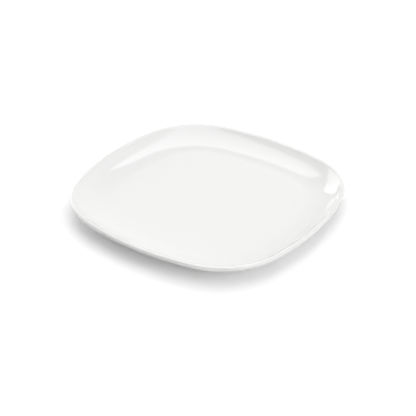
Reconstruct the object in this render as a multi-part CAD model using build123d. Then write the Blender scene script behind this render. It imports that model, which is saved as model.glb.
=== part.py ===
from build123d import *

import os
from math import asin, atan2, cos, degrees, radians, sin, sqrt, tan

# Square dinner plate in glazed porcelain: a soft square with bowed sides and large round corners,
# whose flat well sweeps up in one curve to a blunt lip. The plate is one fired body under two
# coats of glaze, parted from each other by the bare standing edge of the foot ring.
# Millimetres, +Z up. The origin is on the table under the plate's centre, and the sides face
# along X and Y.

# Plan of the rim: four sides and four corners, each one arc, that run into each other
WIDTH = 260.0  # across two opposite sides, over the glaze
SIDE_RADIUS = 283.0  # bow of each side
CORNER_RADIUS = 80.0  # round of each corner

# Section of the plate, over the glaze
HEIGHT = 22.5  # from the table to the top of the rim
WELL_WIDTH = 184.0  # flat well, across two opposite sides
BASE_THICKNESS = 4.6  # under the well

# Lip: rounded over the top, with an upright face outside
LIP_TOP_ROUND = 3.0  # from the wall over the top
LIP_CREST = 2.0  # from the face in to the highest line of the lip
LIP_DEPTH = 3.5  # from the top down to the lower edge of the face
LIP_EDGE_ROUND = 0.9  # glaze over the two edges of the face

# Foot ring under the edge of the well
FOOT_HEIGHT = 2.6  # from the table to the underside of the base
FOOT_THICKNESS = 3.2  # of the bare ring at the table
FOOT_DRAFT = 18.0  # lean of the ring's two sides, in degrees
FOOT_LEDGE = 1.5  # flat left between the ring and the curve of the wall
FOOT_BEVEL = 0.5  # ground on the two edges of the bare ring
FOOT_ROOT_ROUND = 1.4  # glaze gathered where the ring grows out of the base

# Glaze
GLAZE = 0.3  # thickness of the coat
BARE_HEIGHT = 1.1  # foot left without glaze, up from the table

# Levels of the base, and the centre of the lip's round
base_z = FOOT_HEIGHT
well_z = base_z + BASE_THICKNESS
lip_x = WIDTH / 2 - LIP_CREST
lip_z = HEIGHT - LIP_TOP_ROUND

# Inside of the wall: one arc, level at the edge of the well, that runs into the lip
well_x = WELL_WIDTH / 2
reach = lip_x - well_x
rise = lip_z - well_z
wall_radius = (reach**2 + rise**2 - LIP_TOP_ROUND**2) / (2 * (rise + LIP_TOP_ROUND))
wall_angle = degrees(atan2(reach, wall_radius - rise))

# Back of the wall: one arc, level at the underside of the base, that meets the face of the lip
# at the slope of the inside
heel_z = HEIGHT - LIP_DEPTH
back_radius = (heel_z - base_z) / (1 - cos(radians(wall_angle)))
back_x = WIDTH / 2 - back_radius * sin(radians(wall_angle))

# Foot ring: its bare sides lean apart from the table up to the base
foot_lean = tan(radians(FOOT_DRAFT))
root_run = FOOT_ROOT_ROUND * tan(radians(90 - FOOT_DRAFT) / 2)
coat_run = GLAZE / cos(radians(FOOT_DRAFT))
foot_outer_x = back_x - FOOT_LEDGE - root_run - base_z * foot_lean - coat_run
foot_inner_x = foot_outer_x - FOOT_THICKNESS

# The section is carried round the rim from this line outwards, and a disc fills the inside of it
disc_x = foot_inner_x - coat_run - base_z * foot_lean - root_run - FOOT_THICKNESS
disc_inset = WIDTH / 2 - disc_x

# Arcs of the rim on one quarter of the plate: centre, radius, start and turn in degrees
side_reach = SIDE_RADIUS - WIDTH / 2
corner_reach = (sqrt(2 * (SIDE_RADIUS - CORNER_RADIUS) ** 2 - side_reach**2) - side_reach) / 2
half_side = degrees(atan2(corner_reach, corner_reach + side_reach))
side_arc = ((-side_reach, 0), SIDE_RADIUS, -half_side, 2 * half_side)
corner_arc = ((corner_reach, corner_reach), CORNER_RADIUS, half_side, 90 - 2 * half_side)


def section(coat):
    """Section at mid-side from inside the foot ring out to the lip, with crisp edges.

    It is the bare body, or the body and a coat of glaze of this thickness.
    """
    depth = GLAZE - coat
    over_z = well_z - depth
    under_z = base_z + depth
    stand_z = -coat
    face_x = WIDTH / 2 - depth
    outer_x = foot_outer_x + coat / cos(radians(FOOT_DRAFT))
    inner_x = foot_inner_x - coat / cos(radians(FOOT_DRAFT))

    inner_wall = JernArc((well_x, over_z), (1, 0), wall_radius + depth, wall_angle)
    lip_radius = LIP_TOP_ROUND - depth
    lip_turn = wall_angle + degrees(asin((face_x - lip_x) / lip_radius))
    lip_top = JernArc(inner_wall @ 1, inner_wall % 1, lip_radius, -lip_turn)
    back_turn = degrees(asin((face_x - back_x) / (back_radius - depth)))
    back = JernArc((back_x, under_z), (1, 0), back_radius - depth, back_turn)
    lip_face = Line(lip_top @ 1, back @ 1)
    underside = Polyline(
        (back_x, under_z),
        (outer_x + under_z * foot_lean, under_z),
        (outer_x + stand_z * foot_lean, stand_z),
        (inner_x - stand_z * foot_lean, stand_z),
        (inner_x - under_z * foot_lean, under_z),
        (disc_x, under_z),
        (disc_x, over_z),
        (well_x, over_z),
    )
    return make_face([inner_wall, lip_top, lip_face, back, underside])


def bare_section():
    """The body, with its standing edge ground."""
    body = section(coat=0)
    return chamfer(body.vertices().group_by(Axis.Y)[0], FOOT_BEVEL)


def glazed_section():
    """The body and its glaze, which gathers at the roots of the foot and rounds the edges of the lip."""
    whole = section(coat=GLAZE)
    foot_roots = whole.vertices().group_by(Axis.Y)[1].sort_by(Axis.X)[1:-1]
    whole = fillet(foot_roots, FOOT_ROOT_ROUND)
    return fillet(whole.vertices().group_by(Axis.X)[-1], LIP_EDGE_ROUND)


def disc(bottom_z, top_z):
    """Flat middle of the plate between two levels, in the rim's own plan."""
    outline = []
    for quarter in range(4):
        for centre, radius, start, turn in (side_arc, corner_arc):
            outline.append(Rot(Z=90 * quarter) * CenterArc(centre, radius - disc_inset, start, turn))
    return Pos(Z=bottom_z) * extrude(make_face(outline), top_z - bottom_z)


def ring(profile):
    """A profile carried once round the plate, about the centre of each side and corner in turn."""
    stretches = []
    for quarter in range(4):
        for centre, radius, start, turn in (side_arc, corner_arc):
            upright = Pos(X=radius - WIDTH / 2) * (Plane.XZ * profile)
            stretch = Pos(*centre) * Rot(Z=start) * revolve(upright, Axis.Z, turn)
            stretches.append(Rot(Z=90 * quarter) * stretch)
    return stretches


body_section = bare_section()
above_bare = Pos(disc_x, BARE_HEIGHT) * Rectangle(WIDTH, HEIGHT, align=(Align.MIN, Align.MIN))
glaze_sections = (glazed_section() - body_section) & above_bare
base_section, outer_section = glaze_sections.faces().sort_by(SortBy.AREA)

plate = {
    "porcelain_body": disc(base_z + GLAZE, well_z - GLAZE) + ring(body_section),
    "outer_glaze": disc(well_z - GLAZE, well_z) + ring(outer_section),
    "base_glaze": disc(base_z, base_z + GLAZE) + ring(base_section),
}

os.makedirs("parts", exist_ok=True)
for name, piece in plate.items():
    piece.label = name
    export_step(piece, f"parts/{name}.step")
    box = piece.bounding_box()
    print(f"{name}: {piece.volume / 1000:.1f} cm3, {box.size.X:.2f} x {box.size.Y:.2f} x {box.size.Z:.2f} mm")
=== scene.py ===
from math import acos, atan2, cos, pi, radians, sin, sqrt, tan

import bmesh
import bpy
from mathutils import Matrix, Vector


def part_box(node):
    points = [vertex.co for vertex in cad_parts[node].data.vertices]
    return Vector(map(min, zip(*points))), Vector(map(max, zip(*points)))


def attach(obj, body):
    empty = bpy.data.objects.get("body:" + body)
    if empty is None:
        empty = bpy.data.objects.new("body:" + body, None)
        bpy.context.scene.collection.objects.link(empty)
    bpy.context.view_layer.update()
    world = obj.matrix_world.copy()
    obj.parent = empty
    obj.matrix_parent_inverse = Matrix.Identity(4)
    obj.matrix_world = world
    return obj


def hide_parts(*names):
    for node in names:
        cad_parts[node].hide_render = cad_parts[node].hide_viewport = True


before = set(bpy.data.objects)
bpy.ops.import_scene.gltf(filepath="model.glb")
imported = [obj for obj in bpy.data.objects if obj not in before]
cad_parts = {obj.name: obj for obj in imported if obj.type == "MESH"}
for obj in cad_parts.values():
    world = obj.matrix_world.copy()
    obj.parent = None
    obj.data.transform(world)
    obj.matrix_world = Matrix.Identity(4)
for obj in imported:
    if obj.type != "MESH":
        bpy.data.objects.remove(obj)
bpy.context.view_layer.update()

# Sizes in metres: the frame gives the width and the height, and the rest repeats the solids' own sizes
MM = 0.001
rim_low, rim_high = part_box("outer_glaze")
WIDTH = rim_high.x - rim_low.x
HEIGHT = rim_high.z
SIDE_RADIUS = 283 * MM
CORNER_RADIUS = 80 * MM
WELL_WIDTH = 184 * MM
BASE_THICKNESS = 4.6 * MM
LIP_TOP_ROUND = 3.0 * MM
LIP_CREST = 2.0 * MM
LIP_DEPTH = 3.5 * MM
LIP_EDGE_ROUND = 0.9 * MM
FOOT_HEIGHT = 2.6 * MM
FOOT_THICKNESS = 3.2 * MM
FOOT_DRAFT = radians(18)
FOOT_LEDGE = 1.5 * MM
FOOT_EDGE_ROUND = 0.6 * MM
FOOT_ROOT_ROUND = 1.4 * MM
GLAZE = 0.3 * MM
BARE_HEIGHT = 1.1 * MM

# Edge of the glaze on the foot: a soft bead whose line wanders a little
EDGE_SOFTENING = 0.45 * MM
EDGE_WANDER = ((5, 0.4, 0.10 * MM), (11, 2.1, 0.07 * MM), (23, 4.0, 0.05 * MM))  # waves, phase, height
BASE_EDGE_TURN = 1.0  # its line inside the foot starts elsewhere

# Steps of the meshes
SIDE_STEPS = 20
CORNER_STEPS = 24
WALL_STEPS = 24
LIP_STEPS = 14
BACK_STEPS = 20
ROUND_STEPS = 8
EDGE_STEPS = 6
DISC_RINGS = (0.85, 0.65, 0.45, 0.25, 0.1)  # shares of the flat disc's reach
SHARP_ANGLE = radians(40)

# Looks of the plate
GLAZE_WHITE = (0.925, 0.925, 0.918)
GLAZE_THIN = (0.915, 0.908, 0.885)  # over the lip and at the edge on the foot, where the body warms it
GLAZE_GATHERED = (0.900, 0.910, 0.912)  # at the root of the foot
GLAZE_SPECK = (0.66, 0.62, 0.55)
GLAZE_ROUGHNESS = (0.02, 0.045)
GLAZE_IOR = 1.56
PEEL_SIZE = 3.5 * MM
PEEL_HEIGHT = 0.002 * MM
WAVE_SIZE = 45 * MM
WAVE_HEIGHT = 0.008 * MM
SPECK_SPACING = 16 * MM
SPECK_RADIUS = 0.22 * MM
SPECK_SHARE = 0.2  # of the cells, one speck in each
PORCELAIN_LIGHT = (0.865, 0.850, 0.815)
PORCELAIN_DARK = (0.800, 0.785, 0.750)
PORCELAIN_ROUGHNESS = (0.65, 0.85)
GRAIN_STOPS = (0.35, 0.65)  # levels of the grain at its dark and its light tone
GRAIN_SIZE = 0.5 * MM
GRAIN_HEIGHT = 0.02 * MM

# Looks of the studio: floor, lamps and fill, with places in metres from the plate
FLOOR_WHITE = (0.94, 0.94, 0.94)
FLOOR_HALF = 4.0
FLOOR_GLOW = (0.18, 0.90)  # seen only, near the plate and far from it
FLOOR_FADE = (0.30, 1.60)
TOP = {
    "to_right": 0.0, "away": -0.19, "height": 1.225, "width": 1.20, "depth": 1.90,
    "strength": 1.86, "facing": -0.634,
}
SIDE = {"to_right": 0.90, "away": -0.90, "height": 0.55, "width": 0.90, "depth": 0.70, "strength": 3.32}
BACK = {"to_right": -0.70, "away": 0.85, "height": 0.45, "width": 0.90, "depth": 0.50, "strength": 2.03}
FILL = 0.165
FILL_SLANT = 0.8  # more from behind the plate than from the camera's side
WALL_WHITE_TO = 0.56  # heights on the sky where the reflected walls turn from white to grey
WALL_GREY_FROM = 0.66
WALL_GREY = (0.70, 0.70, 0.70)

# Camera
CAMERA_AZIMUTH = radians(-56.02)
CAMERA_ELEVATION = radians(32.29)
CAMERA_ROLL = radians(0.84)
CAMERA_DISTANCE = 1.208
CAMERA_TARGET = Vector((-21.3, -14.2, 15.0)) * MM
CAMERA_LENS = 102.0
SENSOR = 36.0

# Levels, and the arcs of the wall, the lip and the back of the wall
base_z = FOOT_HEIGHT
well_z = base_z + BASE_THICKNESS
well_x = WELL_WIDTH / 2
lip_x = WIDTH / 2 - LIP_CREST
lip_z = HEIGHT - LIP_TOP_ROUND
reach = lip_x - well_x
rise = lip_z - well_z
wall_radius = (reach**2 + rise**2 - LIP_TOP_ROUND**2) / (2 * (rise + LIP_TOP_ROUND))
wall_angle = atan2(reach, wall_radius - rise)
back_radius = (HEIGHT - LIP_DEPTH - base_z) / (1 - cos(wall_angle))
back_x = WIDTH / 2 - back_radius * sin(wall_angle)

# Rounds at the two edges of the lip's upright face
edge_x = WIDTH / 2 - LIP_EDGE_ROUND
edge_angle = acos((edge_x - lip_x) / (LIP_TOP_ROUND - LIP_EDGE_ROUND))
edge_z = lip_z + (LIP_TOP_ROUND - LIP_EDGE_ROUND) * sin(edge_angle)
heel_angle = acos((edge_x - back_x) / (back_radius - LIP_EDGE_ROUND))
heel_z = base_z + back_radius - (back_radius - LIP_EDGE_ROUND) * sin(heel_angle)

# Foot ring: where its bare sides meet the table, and where the flat disc of the base begins
foot_lean = tan(FOOT_DRAFT)
root_run = FOOT_ROOT_ROUND * tan((pi / 2 - FOOT_DRAFT) / 2)
coat_run = GLAZE / cos(FOOT_DRAFT)
foot_outer_x = back_x - FOOT_LEDGE - root_run - base_z * foot_lean - coat_run
foot_inner_x = foot_outer_x - FOOT_THICKNESS
disc_x = foot_inner_x - coat_run - base_z * foot_lean - root_run - FOOT_THICKNESS

# Arcs of the rim's plan
side_reach = SIDE_RADIUS - WIDTH / 2
corner_reach = (sqrt(2 * (SIDE_RADIUS - CORNER_RADIUS) ** 2 - side_reach**2) - side_reach) / 2
half_side = atan2(corner_reach, corner_reach + side_reach)


def stations():
    """Places round the rim: the centre and radius of the arc, and the direction out from it."""
    found = []
    for quarter in range(4):
        turn = quarter * pi / 2
        for step in range(SIDE_STEPS):
            angle = turn + half_side * (2 * step / SIDE_STEPS - 1)
            centre = Vector((-side_reach * cos(turn), -side_reach * sin(turn)))
            found.append((centre, SIDE_RADIUS, angle))
        for step in range(CORNER_STEPS):
            angle = turn + half_side + (pi / 2 - 2 * half_side) * step / CORNER_STEPS
            diagonal = turn + pi / 4
            centre = Vector((cos(diagonal), sin(diagonal))) * corner_reach * sqrt(2)
            found.append((centre, CORNER_RADIUS, angle))
    return found


def arc(centre_x, centre_z, radius, start, end, steps):
    """Points along an arc of the section, both ends included, with angles up from the X axis."""
    points = []
    for step in range(steps + 1):
        angle = start + (end - start) * step / steps
        points.append((centre_x + radius * cos(angle), centre_z + radius * sin(angle)))
    return points


def upper_skin(depth):
    """Well, wall, lip, back and root of the foot, at a depth below the surface of the glaze."""
    wall_z = well_z + wall_radius
    wall = arc(well_x, wall_z, wall_radius + depth, -pi / 2, wall_angle - pi / 2, WALL_STEPS)
    top = arc(lip_x, lip_z, LIP_TOP_ROUND - depth, wall_angle + pi / 2, edge_angle, LIP_STEPS)
    edge = arc(edge_x, edge_z, LIP_EDGE_ROUND - depth, edge_angle, 0, ROUND_STEPS)
    heel = arc(edge_x, heel_z, LIP_EDGE_ROUND - depth, 0, -heel_angle, ROUND_STEPS)
    back = arc(back_x, base_z + back_radius, back_radius - depth, -heel_angle, -pi / 2, BACK_STEPS)
    root = FOOT_ROOT_ROUND + depth
    root_z = base_z + depth - root
    root_x = foot_outer_x + root_z * foot_lean + (GLAZE - depth + root) / cos(FOOT_DRAFT)
    cove = arc(root_x, root_z, root, pi / 2, pi - FOOT_DRAFT, ROUND_STEPS)
    return [(disc_x, well_z - depth)] + wall + top[1:] + edge[1:] + heel + back[1:] + cove


def lower_skin(depth):
    """Underside of the base and root of the foot, inside the ring."""
    root = FOOT_ROOT_ROUND + depth
    root_z = base_z + depth - root
    root_x = foot_inner_x - root_z * foot_lean - (GLAZE - depth + root) / cos(FOOT_DRAFT)
    cove = arc(root_x, root_z, root, pi / 2, FOOT_DRAFT, ROUND_STEPS)
    return [(disc_x, base_z + depth)] + cove


def foot_side(side_x, lean, coat, z):
    """Point on a side of the foot, outer or inner, over a thickness of glaze."""
    outward = 1 if lean > 0 else -1
    return side_x + z * lean + outward * coat / cos(FOOT_DRAFT), z


def glaze_edge(side_x, lean, low_z):
    """Rounded edge of a coat on a side of the foot, from its full thickness down to the bare body."""
    points = []
    for step in range(EDGE_STEPS + 1):
        fall = pi / 2 * step / EDGE_STEPS
        z = low_z + EDGE_SOFTENING * (1 - sin(fall))
        points.append(foot_side(side_x, lean, GLAZE * cos(fall), z))
    return points


def bare_line(angle):
    """Height of the glaze's edge over the table, round the foot."""
    wander = sum(height * sin(waves * angle + phase) for waves, phase, height in EDGE_WANDER)
    return BARE_HEIGHT + wander


def outer_glaze_section(angle):
    """Coat from the well over the lip to its edge outside the foot, and back along the body."""
    edge = glaze_edge(foot_outer_x, foot_lean, bare_line(angle))
    return upper_skin(0) + edge + upper_skin(GLAZE)[::-1]


def base_glaze_section(angle):
    """Coat on the base to its edge inside the foot, and back along the body."""
    edge = glaze_edge(foot_inner_x, -foot_lean, bare_line(angle + BASE_EDGE_TURN))
    return lower_skin(0) + edge + lower_skin(GLAZE)[::-1]


def body_section(angle):
    """Body under both coats, with its bare foot, the same at each angle."""
    round_x = FOOT_EDGE_ROUND * (foot_lean - 1 / cos(FOOT_DRAFT))
    centre_z = FOOT_EDGE_ROUND
    outer = arc(foot_outer_x + round_x, centre_z, FOOT_EDGE_ROUND, -FOOT_DRAFT, -pi / 2, ROUND_STEPS)
    inner = arc(foot_inner_x - round_x, centre_z, FOOT_EDGE_ROUND, -pi / 2, FOOT_DRAFT - pi, ROUND_STEPS)
    return upper_skin(GLAZE) + outer + inner + lower_skin(GLAZE)[::-1]


def plate_piece(name, section, material, node):
    """A closed piece: a section carried round the plate, with a disc across each of its two ends."""
    mesh = bmesh.new()
    loops = []
    for centre, radius, angle in stations():
        out = Vector((cos(angle), sin(angle)))
        loop = []
        for x, z in section(angle):
            place = centre + out * (radius - WIDTH / 2 + x)
            loop.append(mesh.verts.new((place.x, place.y, z)))
        loops.append(loop)
    for loop, after in zip(loops, loops[1:] + loops[:1]):
        for i in range(len(loop) - 1):
            mesh.faces.new((loop[i], after[i], after[i + 1], loop[i + 1]))
    for end in (0, -1):
        ring = [loop[end] for loop in loops]
        rim = [vert.co.copy() for vert in ring]
        for share in DISC_RINGS:
            inner = [mesh.verts.new((co.x * share, co.y * share, co.z)) for co in rim]
            for i in range(len(ring)):
                after = (i + 1) % len(ring)
                mesh.faces.new((ring[i], ring[after], inner[after], inner[i]))
            ring = inner
        middle = mesh.verts.new((0, 0, rim[0].z))
        for i in range(len(ring)):
            mesh.faces.new((ring[i], ring[(i + 1) % len(ring)], middle))
    bmesh.ops.recalc_face_normals(mesh, faces=mesh.faces)
    for face in mesh.faces:
        face.smooth = True
    for edge in mesh.edges:
        edge.smooth = edge.calc_face_angle(0) < SHARP_ANGLE
    data = bpy.data.meshes.new(name)
    mesh.to_mesh(data)
    mesh.free()
    data.materials.append(material)
    piece = bpy.data.objects.new(name, data)
    bpy.context.scene.collection.objects.link(piece)
    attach(piece, "root")
    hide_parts(node)


def add(tree, kind, inputs=None, **settings):
    """A shader node, with each input linked to a socket or set to a value."""
    node = tree.nodes.new("ShaderNode" + kind)
    for name, value in settings.items():
        setattr(node, name, value)
    for key, value in (inputs or {}).items():
        connect(tree, value, node.inputs[key])
    return node


def connect(tree, value, socket):
    if isinstance(value, bpy.types.NodeSocket):
        tree.links.new(value, socket)
    else:
        socket.default_value = value


def ramp(tree, value, *stops):
    """Colours along a value, given as places and colours."""
    node = add(tree, "ValToRGB", {"Fac": value})
    elements = node.color_ramp.elements
    while len(elements) < len(stops):
        elements.new(1)
    for element, (place, colour) in zip(elements, stops):
        element.position = place
        element.color = (*colour, 1)
    return node.outputs["Color"]


def noise(tree, place, size, detail=2):
    """Soft random levels from 0 to 1, in patches of a size in metres."""
    return add(tree, "TexNoise", {"Vector": place, "Scale": 1 / size, "Detail": detail}).outputs["Fac"]


def calc(tree, operation, first, second, third=None):
    inputs = {0: first, 1: second}
    if third is not None:
        inputs[2] = third
    return add(tree, "Math", inputs, operation=operation).outputs["Value"]


def bump(tree, height, distance, normal=None):
    inputs = {"Height": height, "Distance": distance, "Strength": 1}
    if normal is not None:
        inputs["Normal"] = normal
    return add(tree, "Bump", inputs).outputs["Normal"]


def mix_colour(tree, share, first, second):
    node = add(tree, "Mix", data_type="RGBA")
    for key, value in (("Factor_Float", share), ("A_Color", first), ("B_Color", second)):
        socket = next(s for s in node.inputs if s.identifier == key)
        connect(tree, value, socket)
    return next(s for s in node.outputs if s.identifier == "Result_Color")


def new_material(name):
    material = bpy.data.materials.new(name)
    material.use_nodes = True
    tree = material.node_tree
    return material, tree, tree.nodes["Principled BSDF"]


def seen_directly(tree):
    """Share of a ray that shows a surface to the eye: straight, in a reflection or through glass."""
    path = add(tree, "LightPath").outputs
    straight_or_glossy = calc(tree, "MAXIMUM", path["Is Camera Ray"], path["Is Glossy Ray"])
    return calc(tree, "MAXIMUM", straight_or_glossy, path["Is Transmission Ray"])


def specks(tree, place, spacing, radius):
    """Small dots, each in a cell of its own, scattered over a share of the cells."""
    cell = add(tree, "TexVoronoi", {"Vector": place, "Scale": 1 / spacing}).outputs
    near = calc(tree, "LESS_THAN", cell["Distance"], radius / spacing)
    chance = add(tree, "SeparateColor", {"Color": cell["Color"]}).outputs["Red"]
    return calc(tree, "MULTIPLY", near, calc(tree, "GREATER_THAN", chance, 1 - SPECK_SHARE))


def glaze_material():
    """Glossy white glaze, thin over edges, gathered in corners, with a fine peel and a few specks."""
    material, tree, shader = new_material("white_glaze")
    place = add(tree, "TexCoord").outputs["Object"]
    level_z = add(tree, "SeparateXYZ", {"Vector": place}).outputs["Z"]
    share = add(tree, "MapRange", {"Value": level_z, "From Min": 0, "From Max": HEIGHT}).outputs["Result"]
    edge_share = BARE_HEIGHT / HEIGHT
    base_share = base_z / HEIGHT
    tone = ramp(
        tree, share,
        (edge_share, GLAZE_THIN),
        ((edge_share + base_share) / 2, GLAZE_GATHERED),
        (base_share, GLAZE_WHITE),
        (1 - LIP_EDGE_ROUND / HEIGHT, GLAZE_WHITE),
        (1, GLAZE_THIN),
    )
    dots = specks(tree, place, SPECK_SPACING, SPECK_RADIUS)
    connect(tree, mix_colour(tree, dots, tone, (*GLAZE_SPECK, 1)), shader.inputs["Base Color"])
    clouds = noise(tree, place, WAVE_SIZE)
    smooth, dull = GLAZE_ROUGHNESS
    gloss = calc(tree, "MULTIPLY_ADD", clouds, dull - smooth, smooth)
    connect(tree, gloss, shader.inputs["Roughness"])
    waves = bump(tree, clouds, WAVE_HEIGHT)
    peel = bump(tree, noise(tree, place, PEEL_SIZE), PEEL_HEIGHT, waves)
    connect(tree, peel, shader.inputs["Normal"])
    connect(tree, GLAZE_IOR, shader.inputs["IOR"])
    return material


def porcelain_material():
    """Bare fired porcelain, matt and faintly grainy."""
    material, tree, shader = new_material("bare_porcelain")
    place = add(tree, "TexCoord").outputs["Object"]
    grain = noise(tree, place, GRAIN_SIZE, detail=6)
    dark, light = GRAIN_STOPS
    tone = ramp(tree, grain, (dark, PORCELAIN_DARK), (light, PORCELAIN_LIGHT))
    connect(tree, tone, shader.inputs["Base Color"])
    smooth, dull = PORCELAIN_ROUGHNESS
    connect(tree, calc(tree, "MULTIPLY_ADD", grain, dull - smooth, smooth), shader.inputs["Roughness"])
    connect(tree, bump(tree, grain, GRAIN_HEIGHT), shader.inputs["Normal"])
    return material


def floor_material():
    """Matt white paper, that the eye sees fade to plain white away from the plate."""
    material, tree, shader = new_material("floor")
    connect(tree, (*FLOOR_WHITE, 1), shader.inputs["Base Color"])
    connect(tree, 1, shader.inputs["Roughness"])
    connect(tree, 0, shader.inputs["Specular IOR Level"])
    place = add(tree, "TexCoord").outputs["Object"]
    distance = add(tree, "VectorMath", {0: place}, operation="LENGTH").outputs["Value"]
    inputs = {"Value": distance}
    inputs["From Min"], inputs["From Max"] = FLOOR_FADE
    inputs["To Min"], inputs["To Max"] = FLOOR_GLOW
    glow = add(tree, "MapRange", inputs).outputs["Result"]
    connect(tree, (1, 1, 1, 1), shader.inputs["Emission Color"])
    connect(tree, calc(tree, "MULTIPLY", seen_directly(tree), glow), shader.inputs["Emission Strength"])
    return material


glaze = glaze_material()
plate_piece("glaze_coat", outer_glaze_section, glaze, "outer_glaze")
plate_piece("glaze_on_base", base_glaze_section, glaze, "base_glaze")
plate_piece("body_with_foot", body_section, porcelain_material(), "porcelain_body")

# Floor
floor_mesh = bpy.data.meshes.new("floor")
corners = [(x * FLOOR_HALF, y * FLOOR_HALF, 0) for x, y in ((-1, -1), (1, -1), (1, 1), (-1, 1))]
floor_mesh.from_pydata(corners, [], [(0, 1, 2, 3)])
floor_mesh.materials.append(floor_material())
floor = bpy.data.objects.new("floor", floor_mesh)
bpy.context.scene.collection.objects.link(floor)

# Camera
back = Vector((
    sin(CAMERA_AZIMUTH) * cos(CAMERA_ELEVATION),
    -cos(CAMERA_AZIMUTH) * cos(CAMERA_ELEVATION),
    sin(CAMERA_ELEVATION),
))
level = Vector((cos(CAMERA_AZIMUTH), sin(CAMERA_AZIMUTH), 0))
flat_away = Vector((-back.x, -back.y, 0)).normalized()
upright = back.cross(level)
right = level * cos(CAMERA_ROLL) + upright * sin(CAMERA_ROLL)
up = upright * cos(CAMERA_ROLL) - level * sin(CAMERA_ROLL)
camera_data = bpy.data.cameras.new("camera")
camera_data.lens = CAMERA_LENS
camera_data.sensor_width = SENSOR
camera = bpy.data.objects.new("camera", camera_data)
axes = Matrix((right, up, back)).transposed().to_4x4()
camera.matrix_world = Matrix.Translation(CAMERA_TARGET + back * CAMERA_DISTANCE) @ axes
bpy.context.scene.collection.objects.link(camera)
bpy.context.scene.camera = camera


def softbox(name, to_right, away, height, width, depth, strength, facing=0.0):
    """A soft area light, to the camera's right and away from it, that faces a point on the floor.

    The point lies behind the plate's centre by a distance, or before it where that is below 0.
    """
    data = bpy.data.lights.new(name, "AREA")
    data.shape = "RECTANGLE"
    data.size = width
    data.size_y = depth
    data.energy = strength * pi * width * depth
    light = bpy.data.objects.new(name, data)
    place = level * to_right + flat_away * away + Vector((0, 0, height))
    turn = (place - flat_away * facing).to_track_quat("Z", "Y")
    light.matrix_world = Matrix.Translation(place) @ turn.to_matrix().to_4x4()
    light.visible_camera = False
    bpy.context.scene.collection.objects.link(light)


softbox("top", **TOP)
softbox("side", **SIDE)
softbox("back", **BACK)

# Fill light, and the studio's walls as the eye and the glaze see them
world = bpy.data.worlds.new("studio")
bpy.context.scene.world = world
world.use_nodes = True
sky = world.node_tree
direction = add(sky, "TexCoord").outputs["Generated"]
from_behind = add(sky, "VectorMath", {0: direction, 1: flat_away}, operation="DOT_PRODUCT").outputs["Value"]
fill_level = calc(sky, "MULTIPLY_ADD", from_behind, FILL * FILL_SLANT, FILL)
fill = add(sky, "Background", {"Color": (1, 1, 1, 1), "Strength": fill_level})
direction_z = add(sky, "SeparateXYZ", {"Vector": direction}).outputs["Z"]
wall_tone = ramp(sky, direction_z, (WALL_WHITE_TO, (1, 1, 1)), (WALL_GREY_FROM, WALL_GREY))
walls = add(sky, "Background", {"Color": wall_tone, "Strength": 1})
both = {0: seen_directly(sky), 1: fill.outputs["Background"], 2: walls.outputs["Background"]}
shown = add(sky, "MixShader", both)
connect(sky, shown.outputs["Shader"], sky.nodes["World Output"].inputs["Surface"])

bpy.context.scene.view_settings.view_transform = "Standard"
